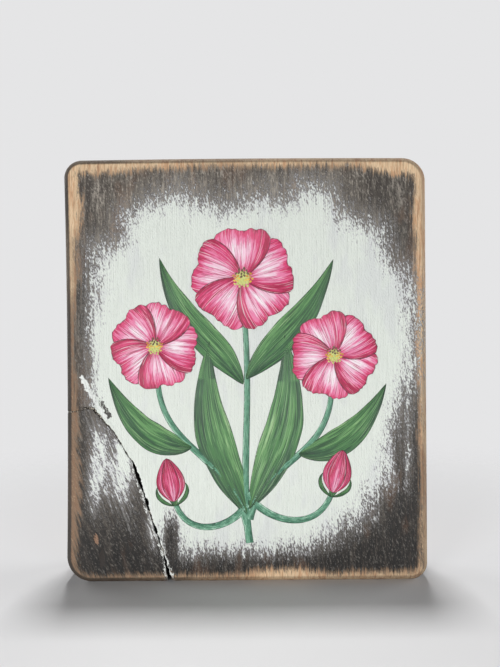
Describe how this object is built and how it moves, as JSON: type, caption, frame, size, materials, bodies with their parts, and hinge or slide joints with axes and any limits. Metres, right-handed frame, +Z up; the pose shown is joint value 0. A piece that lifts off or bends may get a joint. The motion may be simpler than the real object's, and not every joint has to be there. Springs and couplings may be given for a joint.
{
  "type": "painted wooden block",
  "caption": "Thick upright block of old wood with a painted spray of roses, a split lower corner, worn stained edges and a sawtooth hanger on its back.",
  "frame": {"origin": "middle of the block's depth and width, on the flat bottom edge that it stands on", "axes": "+Z up along the block's height, +X to the right as the painted face is seen, the painted face looks along -Y and the hanger is on the +Y side"},
  "size_m": [0.1399, 0.028, 0.1635],
  "materials": {
    "aged_wood": "old softwood, dark stain rubbed back at the edges",
    "knotty_wood": "old softwood round a knot, dark stain rubbed back",
    "old_filler": "crumbly old wood filler",
    "dark_stain": "dark grey-brown stain, dry-brushed along the grain",
    "mint_ground_paint": "matt acrylic ground, brushed",
    "blue_green_paint": "acrylic paint, brushed",
    "leaf_green_paint": "acrylic paint, brushed with dark veins",
    "pink_paint": "acrylic paint, streaked from crimson to near white",
    "yellow_paint": "acrylic paint in raised dabs",
    "crimson_paint": "acrylic paint, streaked",
    "zinc_steel": "zinc-plated pressed steel",
    "nail_steel": "bright steel"
  },
  "bodies": {
    "root": {"wood_board": "aged_wood", "split_corner": "knotty_wood", "crack_filler": "old_filler", "stain_coat": "dark_stain", "corner_stain_coat": "dark_stain", "corner_ground_coat": "mint_ground_paint", "ground_coat": "mint_ground_paint", "stem_paint": "blue_green_paint", "leaf_paint": "leaf_green_paint", "rose_top": "pink_paint", "rose_left": "pink_paint", "rose_right": "pink_paint", "rose_centres": "yellow_paint", "bud_left": "crimson_paint", "bud_right": "crimson_paint", "hanger_plate": "zinc_steel", "hanger_nails": "nail_steel"}
  },
  "joints": []
}
